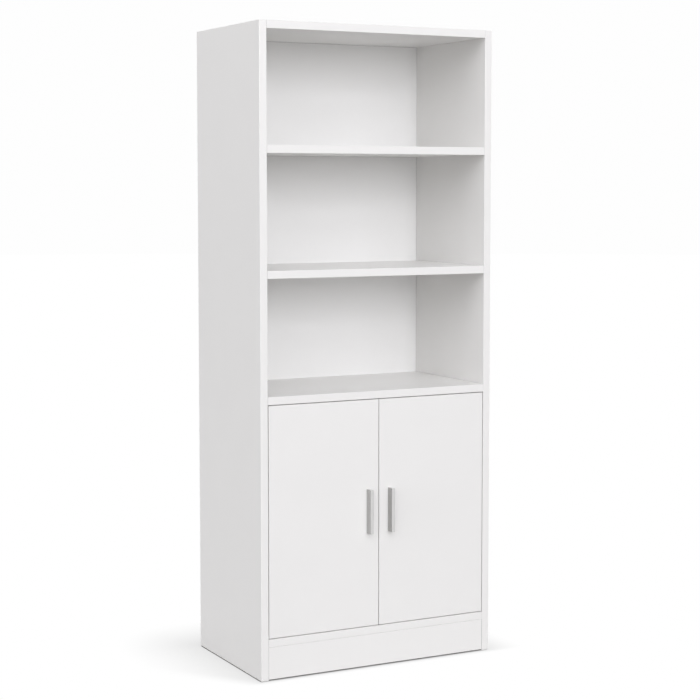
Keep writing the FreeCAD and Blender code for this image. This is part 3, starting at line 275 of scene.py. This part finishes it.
class Surface(Nodes):
    """A new material with a principled shader, and the patterns that finishes are made of."""

    def __init__(self, name):
        self.material = bpy.data.materials.new(name)
        super().__init__(self.material)
        self.output = self.add("ShaderNodeOutputMaterial")
        self.shader = self.add("ShaderNodeBsdfPrincipled")
        self.join(self.shader.outputs["BSDF"], self.output.inputs["Surface"])
        self.place = self.add("ShaderNodeTexCoord")

    def set(self, **numbers):
        """Constant values on the shader's own sockets, with _ for a space in a name."""
        for name, number in numbers.items():
            self.shader.inputs[name.replace("_", " ")].default_value = number

    def drive(self, source, socket):
        """Let a node's output drive one of the shader's sockets."""
        self.join(source, self.shader.inputs[socket])

    def noise(self, size, stretch=(1, 1, 1), detail=2.0, roughness=0.5):
        """Noise with cells of about that size in metres, which can be stretched."""
        mapping = self.add("ShaderNodeMapping")
        self.join(self.place.outputs["Object"], mapping.inputs["Vector"])
        mapping.inputs["Scale"].default_value = [1 / factor for factor in stretch]
        node = self.add("ShaderNodeTexNoise")
        self.join(mapping.outputs["Vector"], node.inputs["Vector"])
        node.inputs["Scale"].default_value = 1 / size
        node.inputs["Detail"].default_value = detail
        node.inputs["Roughness"].default_value = roughness
        return node.outputs["Fac"]

    def ranged(self, source, low, high):
        """Spread a 0 to 1 value over a range."""
        node = self.add("ShaderNodeMapRange")
        self.join(source, node.inputs["Value"])
        node.inputs["To Min"].default_value = low
        node.inputs["To Max"].default_value = high
        return node.outputs["Result"]

    def vary_roughness(self, source, middle, spread):
        """Let a 0 to 1 value vary the roughness on both sides of a middle value."""
        self.drive(self.ranged(source, middle - spread, middle + spread), "Roughness")

    def rise(self, source, start, end):
        """0 before one value, 1 after another, and a smooth rise between them."""
        node = self.add("ShaderNodeMapRange", interpolation_type="SMOOTHSTEP")
        self.join(source, node.inputs["Value"])
        node.inputs["From Min"].default_value = start
        node.inputs["From Max"].default_value = end
        return node.outputs["Result"]

    def mix(self, share_of_second, first, second):
        """Blend two colours; each is a colour or a node's output."""
        node = self.add("ShaderNodeMix", data_type="RGBA")
        self.join(share_of_second, node.inputs["Factor"])
        for socket, item in ((node.inputs[6], first), (node.inputs[7], second)):
            if isinstance(item, bpy.types.NodeSocket):
                self.join(item, socket)
            else:
                socket.default_value = (*item, 1.0)
        return node.outputs[2]

    def tones(self, pattern, shade, darkest, lightest):
        """One colour that a 0 to 1 pattern varies between two shares of its brightness."""
        return self.mix(pattern, scaled(shade, darkest), scaled(shade, lightest))

    def bump(self, height, depth):
        """Raise the surface by a 0 to 1 height times a depth in metres."""
        node = self.add("ShaderNodeBump")
        node.inputs["Strength"].default_value = 1.0
        node.inputs["Distance"].default_value = depth
        self.join(height, node.inputs["Height"])
        self.drive(node.outputs["Normal"], "Normal")

    def parts(self, coordinate):
        """The X, Y and Z of the place ("Object") or of the direction faced ("Normal")."""
        split = self.add("ShaderNodeSeparateXYZ")
        self.join(self.place.outputs[coordinate], split.inputs["Vector"])
        return split.outputs

    def edge_distance(self, edges):
        """Distance from the nearest of some planes, given as (axis, place) pairs."""
        places = self.parts("Object")
        nearest = None
        for axis, place in edges:
            offset = self.math("SUBTRACT", places[axis], place)
            gap = self.math("ABSOLUTE", offset)
            nearest = gap if nearest is None else self.math("MINIMUM", nearest, gap)
        return nearest

    def facing(self, axis, sign):
        """1 where a node's surface looks along that axis at rest, else 0."""
        along = self.math("MULTIPLY", self.parts("Normal")[axis], sign)
        return self.math("GREATER_THAN", along, 0.5)


def scaled(shade, factor):
    """A colour made lighter or darker."""
    return tuple(min(channel * factor, 1.0) for channel in shade)


def paint_nodes(names, material):
    """Give CAD nodes a material in all their slots."""
    for name in names:
        slots = frame["nodes"][name].material_slots
        if not slots:
            raise RuntimeError(f"{name} has no material slot")
        for slot in slots:
            slot.material = material


def melamine(name, settings, edges, joints=()):
    """White melamine board with banded edges and butt joints.

    An edge is an axis and a place along it. A joint has a third value, which is how
    bright its line is on the front, where the line is a seam with painted shade. Away
    from the front, the line is painted shade in the corner where the boards meet.
    """
    surface = Surface(name)
    clouds = surface.noise(BOARD_CLOUDS, detail=3.0)
    shade = surface.tones(clouds, settings.face, darkest=1 - settings.mottle,
                          lightest=1 + settings.mottle)
    gap = surface.edge_distance(edges)
    banded = surface.math("LESS_THAN", gap, settings.band_width)
    shade = surface.mix(banded, shade, tuple(settings.banding))
    off_seam = surface.math("ABSOLUTE", surface.math("SUBTRACT", gap, settings.band_width))
    seam = surface.math("LESS_THAN", off_seam, settings.seam_width / 2)
    shade = surface.mix(seam, shade, scaled(settings.face, GLUE_LINE))
    # Each joint's line: on the front a seam with painted shade, elsewhere painted shade in the
    # corner.
    for axis, place, front in joints:
        off_joint = surface.edge_distance([(axis, place)])
        at_joint = surface.math("LESS_THAN", off_joint, settings.joint_width)
        line = surface.mix(surface.facing("Y", -1), scaled(settings.face, INSIDE_JOINT_SHADE),
                           scaled(settings.face, front))
        shade = surface.mix(at_joint, shade, line)
    surface.drive(shade, "Base Color")
    pebbles = surface.noise(settings.grain)
    surface.vary_roughness(pebbles, settings.roughness, spread=0.05)
    surface.bump(pebbles, settings.relief)
    surface.set(Specular_IOR_Level=0.5)
    return surface.material


def plated(name, shade, roughness, polish, stretch=(1, 1, 1)):
    """Polished or plated metal with fine marks, which can be stretched along an axis."""
    surface = Surface(name)
    marks = surface.noise(polish, stretch=stretch, detail=3.0, roughness=0.6)
    surface.drive(surface.tones(marks, shade, darkest=0.9, lightest=1.06), "Base Color")
    surface.vary_roughness(marks, roughness, spread=0.07)
    surface.bump(marks, depth=0.01 * MM)
    surface.set(Metallic=1.0)
    return surface.material


def moulded(name, shade, roughness):
    """Moulded plastic with a fine even texture."""
    surface = Surface(name)
    texture = surface.noise(0.6 * MM)
    clouds = surface.noise(PLASTIC_CLOUDS)
    surface.drive(surface.tones(clouds, shade, darkest=0.97, lightest=1.03), "Base Color")
    surface.vary_roughness(texture, roughness, spread=0.05)
    surface.bump(texture, depth=0.02 * MM)
    return surface.material


# ---------------------------------------------------------------- finishes

class BookcaseOperator(bpy.types.Operator):
    """Shared behaviour of the bookcase's operators."""
    bl_options = {"REGISTER", "UNDO"}

    @staticmethod
    def settings(context):
        """The bookcase's settings in this scene."""
        return context.scene.bookcase


class BOOKCASE_OT_case_boards(BookcaseOperator):
    """Finish the side panels, the fixed panels and the plinth."""
    bl_idname = "bookcase.case_boards"
    bl_label = "Case Boards"

    def execute(self, context):
        settings = self.settings(context).melamine
        low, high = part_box("top_panel")
        edges = [("Y", low.y), ("Y", high.y)]
        # The front joints' lines are seams with painted shade, darker on the right side.
        joints = [("X", low.x, PANEL_LEFT_JOINT_SHADE), ("X", high.x, PANEL_RIGHT_JOINT_SHADE)]
        plinth_joint_shades = [("X", low.x, PLINTH_LEFT_JOINT_SHADE), ("X", high.x, PLINTH_RIGHT_JOINT_SHADE),
                         ("Z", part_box("plinth")[1].z, PLINTH_TOP_JOINT_SHADE)]
        paint_nodes(SIDE_PANELS, melamine("white_melamine_side", settings, edges))
        paint_nodes(CASE_PANELS, melamine("white_melamine_panel", settings, edges, joints))
        plinth = melamine("white_melamine_plinth", settings, edges, plinth_joint_shades)
        paint_nodes(("plinth",), plinth)
        return {"FINISHED"}


class BOOKCASE_OT_inner_shelf(BookcaseOperator):
    """Finish the loose shelf behind the doors, which is banded on its front edge."""
    bl_idname = "bookcase.inner_shelf"
    bl_label = "Inner Shelf"

    def execute(self, context):
        settings = self.settings(context).melamine
        low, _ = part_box("inner_shelf")
        shelf = melamine("white_melamine_shelf", settings, [("Y", low.y)])
        paint_nodes(("inner_shelf",), shelf)
        return {"FINISHED"}


class BOOKCASE_OT_doors(BookcaseOperator):
    """Finish the doors, which are banded on all four edges."""
    bl_idname = "bookcase.doors"
    bl_label = "Doors"

    def execute(self, context):
        settings = self.settings(context).melamine
        for name in DOORS:
            low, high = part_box(name)
            edges = [("X", low.x), ("X", high.x), ("Z", low.z), ("Z", high.z)]
            paint_nodes((name,), melamine(f"white_melamine_{name}", settings, edges))
        return {"FINISHED"}


class BOOKCASE_OT_back_panel(BookcaseOperator):
    """Finish the back panel: painted in front, bare hardboard behind."""
    bl_idname = "bookcase.back_panel"
    bl_label = "Back Panel"

    def execute(self, context):
        settings = self.settings(context).back_panel
        surface = Surface("painted_hardboard")
        clouds = surface.noise(PAINT_CLOUDS, detail=3.0)
        paint = surface.tones(clouds, settings.paint, darkest=0.99, lightest=1.01)
        # The paint is darker in a thin painted shadow along each board that meets it.
        rims = [("X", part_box("left_side_panel")[1].x), ("X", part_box("right_side_panel")[0].x)]
        rims += [("Z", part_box(name)[0].z) for name in UPPER_PANELS]
        rim_shade = surface.math("LESS_THAN", surface.edge_distance(rims), settings.groove_shade_width)
        paint = surface.mix(rim_shade, paint, scaled(settings.paint, GROOVE_SHADE))

        fibres = surface.noise(settings.fibre_size, stretch=(3, 3, 1), detail=6.0,
                               roughness=0.7)
        patches = surface.noise(FIBRE_PATCHES, stretch=(1, 1, 1.6), detail=5.0, roughness=0.65)
        brown = surface.math("ADD", surface.math("MULTIPLY", fibres, FIBRE_SHARE),
                             surface.math("MULTIPLY", patches, 1 - FIBRE_SHARE))
        brown = surface.rise(brown, start=0.3, end=0.7)
        bare = surface.mix(brown, tuple(settings.dark_fibre), tuple(settings.fibre))

        rear = surface.facing("Y", 1)
        surface.drive(surface.mix(rear, paint, bare), "Base Color")
        surface.drive(surface.ranged(rear, low=0.5, high=0.85), "Roughness")
        relief = surface.math("MULTIPLY", fibres, surface.ranged(rear, low=0.15, high=1.0))
        surface.bump(relief, depth=0.12 * MM)
        surface.set(Specular_IOR_Level=0.3)
        paint_nodes(("back_panel",), surface.material)
        return {"FINISHED"}


class BOOKCASE_OT_handles(BookcaseOperator):
    """Finish the two bar handles."""
    bl_idname = "bookcase.handles"
    bl_label = "Handles"

    def execute(self, context):
        settings = self.settings(context).handle
        surface = Surface("silver_grey_lacquer")
        lines = surface.noise(settings.grain, stretch=(1, 1, 40), detail=3.0)
        flakes = surface.noise(0.2 * MM, detail=1.0)
        # The flanks get the darker, shaded grey and the front the lit grey: painted shade.
        sideways = surface.math("ABSOLUTE", surface.parts("Normal")["X"])
        shaded_flank = surface.rise(sideways, start=0.3, end=0.8)
        grey = surface.mix(shaded_flank, tuple(settings.front), tuple(settings.shaded_flank))
        dark = surface.mix(shaded_flank, scaled(settings.front, DRAWN_LINE),
                           scaled(settings.shaded_flank, DRAWN_LINE))
        surface.drive(surface.mix(lines, dark, grey), "Base Color")
        surface.vary_roughness(lines, settings.roughness, spread=0.06)
        relief = surface.math("ADD", lines, surface.math("MULTIPLY", flakes, FLAKE_SHARE))
        surface.bump(relief, depth=0.008 * MM)
        surface.set(Metallic=settings.metal)
        paint_nodes(HANDLES, surface.material)
        return {"FINISHED"}


class BOOKCASE_OT_metal_fittings(BookcaseOperator):
    """Finish the hinges, screws, pins, cams and magnets."""
    bl_idname = "bookcase.metal_fittings"
    bl_label = "Metal Fittings"

    def execute(self, context):
        settings = self.settings(context).metal
        slots = {part["node"]: part["material_slot"] for part in frame["record"]["subparts"]}
        finishes = {
            "nickel_steel": plated("nickel_plated_steel", settings.nickel, roughness=0.26,
                                   polish=settings.polish, stretch=(1, 1, 12)),
            "zinc_steel": plated("zinc_plated_steel", settings.zinc, roughness=0.34,
                                 polish=settings.polish),
            "zinc": plated("cast_zinc", settings.casting, roughness=0.5,
                           polish=settings.polish),
            "magnet": moulded("dark_magnet", settings.magnet, roughness=0.45),
        }
        for slot, finish in finishes.items():
            paint_nodes([node for node in sorted(slots) if slots[node] == slot], finish)
        return {"FINISHED"}


class BOOKCASE_OT_plastic_pieces(BookcaseOperator):
    """Finish the cover caps, the catch and the floor glides."""
    bl_idname = "bookcase.plastic_pieces"
    bl_label = "Plastic Pieces"

    def execute(self, context):
        settings = self.settings(context).moulding
        white = moulded("white_plastic", settings.white, roughness=0.42)
        paint_nodes(("cam_cover_caps", "catch_housing"), white)
        dark = moulded("glide_plastic", settings.dark, roughness=0.5)
        paint_nodes(("floor_glides",), dark)
        return {"FINISHED"}


class BOOKCASE_OT_dowels(BookcaseOperator):
    """Finish the wooden dowels."""
    bl_idname = "bookcase.dowels"
    bl_label = "Dowels"

    def execute(self, context):
        settings = self.settings(context).moulding
        surface = Surface("beech")
        grain = surface.noise(0.7 * MM, stretch=(14, 1, 1), detail=5.0, roughness=0.65)
        wood = surface.mix(grain, tuple(settings.beech_grain), tuple(settings.beech))
        surface.drive(wood, "Base Color")
        surface.drive(surface.ranged(grain, low=0.5, high=0.7), "Roughness")
        surface.bump(grain, depth=0.06 * MM)
        paint_nodes(("wooden_dowels",), surface.material)
        return {"FINISHED"}


# ---------------------------------------------------------------- studio

def floor_glow(surface, settings):
    """Share of the floor that is plain white: less in a painted soft shadow, none under the case.
    """
    low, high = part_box("top_panel")
    left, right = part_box("left_side_panel")[0].x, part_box("right_side_panel")[1].x
    places = surface.parts("Object")
    x, y = places["X"], places["Y"]

    # Distance from the case's outline, with each side's own scale.
    to_left = surface.math("MAXIMUM", surface.math("SUBTRACT", left, x), 0.0)
    to_right = surface.math("MAXIMUM", surface.math("SUBTRACT", x, right), 0.0)
    beside = surface.math("ADD", to_left, surface.math("MULTIPLY", to_right, SHADOW_RIGHT))
    behind = surface.math("MULTIPLY", surface.math("SUBTRACT", y, high.y), SHADOW_BEHIND)
    before = surface.math("MULTIPLY", surface.math("SUBTRACT", low.y, y), SHADOW_BEFORE)
    beyond = surface.math("MAXIMUM", surface.math("MAXIMUM", behind, before), 0.0)
    offset = surface.add("ShaderNodeCombineXYZ")
    surface.join(beside, offset.inputs["X"])
    surface.join(beyond, offset.inputs["Y"])
    distance = surface.add("ShaderNodeVectorMath", operation="LENGTH")
    surface.join(offset.outputs["Vector"], distance.inputs[0])
    gap = distance.outputs["Value"]

    # The painted shadow fades with that distance and starts at a slant beside the front corner.
    far = surface.math("DIVIDE", gap, settings.shadow_reach, clamp=True)
    near = surface.math("POWER", surface.math("SUBTRACT", 1.0, far), SHADOW_FADE)
    slant = surface.math("SUBTRACT", y, surface.math("MULTIPLY", to_left, SHADOW_SLANT))
    back = surface.rise(slant, low.y + SHADOW_START, low.y + SHADOW_WHOLE)
    shadow = surface.math("MULTIPLY", near, back)
    glow = surface.math("SUBTRACT", 1.0, surface.math("MULTIPLY", shadow, settings.shadow))

    # Under the case the floor shows its own shade instead.
    outside = surface.math("GREATER_THAN", gap, 0.0)
    under_front = surface.rise(y, low.y + UNDER_START, low.y + UNDER_WHOLE)
    clear = surface.math("MAXIMUM", outside, surface.math("SUBTRACT", 1.0, under_front))
    return surface.math("MULTIPLY", glow, clear)


def floor_material(settings):
    """A pale floor that looks white, with the bookcase's soft shadow painted over its own lit
    shade.
    """
    surface = Surface("pale_floor")
    texture = surface.noise(FLOOR_TEXTURE)
    shade = surface.tones(texture, settings.floor, darkest=0.995, lightest=1.005)
    surface.drive(shade, "Base Color")
    surface.set(Roughness=0.9, Specular_IOR_Level=0.1)

    glow = surface.add("ShaderNodeEmission")
    glow.inputs["Strength"].default_value = 1.0
    blend = surface.add("ShaderNodeMixShader")
    white = surface.math("MULTIPLY", surface.seen_rays(), floor_glow(surface, settings))
    surface.join(white, blend.inputs["Fac"])
    surface.join(surface.shader.outputs["BSDF"], blend.inputs[1])
    surface.join(glow.outputs["Emission"], blend.inputs[2])
    surface.join(blend.outputs["Shader"], surface.output.inputs["Surface"])
    return surface.material


def make_floor(settings):
    """A large round floor at Z = 0."""
    mesh = bpy.data.meshes.new("floor")
    shape = bmesh.new()
    bmesh.ops.create_circle(shape, cap_ends=True, segments=96, radius=FLOOR_RADIUS)
    shape.to_mesh(mesh)
    shape.free()
    floor = bpy.data.objects.new("floor", mesh)
    bpy.context.scene.collection.objects.link(floor)
    mesh.materials.append(floor_material(settings))


def make_lamp(name, azimuth, height, size, watts):
    """A square soft lamp that isn't seen itself, turned to the middle of the bookcase."""
    light = bpy.data.lights.new(name, "AREA")
    light.shape = "SQUARE"
    light.size = size
    light.energy = watts
    light.color = LAMP_COLOR
    lamp = bpy.data.objects.new(name, light)
    around, up = math.radians(azimuth), math.radians(height)
    direction = Vector((math.sin(around) * math.cos(up),
                        -math.cos(around) * math.cos(up), math.sin(up)))
    lamp.location = MIDDLE + LAMP_DISTANCE * direction
    lamp.rotation_euler = (-direction).to_track_quat("-Z", "Y").to_euler()
    lamp.visible_camera = False
    bpy.context.scene.collection.objects.link(lamp)


def make_surround(settings):
    """White surroundings that light the bookcase weakly and evenly."""
    world = bpy.data.worlds.new("surround")
    bpy.context.scene.world = world
    nodes = Nodes(world)
    light = nodes.add("ShaderNodeBackground")
    light.inputs["Color"].default_value = (*settings.surround_color, 1.0)
    light.inputs["Strength"].default_value = settings.surround
    white = nodes.add("ShaderNodeBackground")
    white.inputs["Color"].default_value = (*SURROUND_WHITE, 1.0)
    blend = nodes.add("ShaderNodeMixShader")
    nodes.join(nodes.seen_rays(), blend.inputs["Fac"])
    nodes.join(light.outputs["Background"], blend.inputs[1])
    nodes.join(white.outputs["Background"], blend.inputs[2])
    output = nodes.add("ShaderNodeOutputWorld")
    nodes.join(blend.outputs["Shader"], output.inputs["Surface"])


def make_camera(settings):
    """The camera, level but for a small tilt downwards."""
    data = bpy.data.cameras.new("camera")
    data.sensor_fit = "HORIZONTAL"
    data.sensor_width = SENSOR_WIDTH
    data.lens = settings.camera_lens
    data.shift_y = settings.camera_rise
    data.clip_start = NEAREST_SEEN
    data.clip_end = FARTHEST_SEEN
    camera = bpy.data.objects.new("camera", data)
    camera.location = settings.camera_place
    camera.rotation_euler = (math.pi / 2 - settings.camera_pitch, 0.0, -settings.camera_yaw)
    bpy.context.scene.collection.objects.link(camera)
    bpy.context.scene.camera = camera


class BOOKCASE_OT_studio(BookcaseOperator):
    """Set the floor, the lamps, the surroundings and the camera."""
    bl_idname = "bookcase.studio"
    bl_label = "Studio"

    def execute(self, context):
        settings = self.settings(context).studio
        context.scene.view_settings.view_transform = "Standard"
        make_floor(settings)
        for name, azimuth, height, size in LAMPS:
            make_lamp(f"{name}_lamp", azimuth, height, size, getattr(settings, name))
        make_surround(settings)
        make_camera(settings)
        return {"FINISHED"}


# ---------------------------------------------------------------- add-on

STEPS = (
    BOOKCASE_OT_case_boards,
    BOOKCASE_OT_inner_shelf,
    BOOKCASE_OT_doors,
    BOOKCASE_OT_back_panel,
    BOOKCASE_OT_handles,
    BOOKCASE_OT_metal_fittings,
    BOOKCASE_OT_plastic_pieces,
    BOOKCASE_OT_dowels,
    BOOKCASE_OT_studio,
)


class VIEW3D_PT_bookcase(bpy.types.Panel):
    """The bookcase's steps and settings in the sidebar."""
    bl_idname = "VIEW3D_PT_bookcase"
    bl_label = "Bookcase"
    bl_space_type = "VIEW_3D"
    bl_region_type = "UI"
    bl_category = "Bookcase"

    def draw(self, context):
        for step in STEPS:
            self.layout.operator(step.bl_idname)
        settings = context.scene.bookcase
        for group in (settings.melamine, settings.back_panel, settings.handle,
                      settings.metal, settings.moulding, settings.studio):
            box = self.layout.box()
            for name in group.bl_rna.properties.keys():
                if name not in ("rna_type", "name"):
                    box.prop(group, name)


CLASSES = (
    MelamineSettings, BackPanelSettings, HandleSettings, MetalSettings,
    MouldingSettings, StudioSettings, BookcaseSettings, *STEPS, VIEW3D_PT_bookcase,
)


def register():
    """Make the settings, the operators and the panel known to Blender."""
    for item in CLASSES:
        bpy.utils.register_class(item)
    bpy.types.Scene.bookcase = PointerProperty(type=BookcaseSettings)


def unregister():
    """Take them away again."""
    del bpy.types.Scene.bookcase
    for item in reversed(CLASSES):
        bpy.utils.unregister_class(item)


def main():
    """Register the add-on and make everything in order."""
    register()
    for step in STEPS:
        group, action = step.bl_idname.split(".")
        getattr(getattr(bpy.ops, group), action)()


if __name__ == "__main__":
    main()
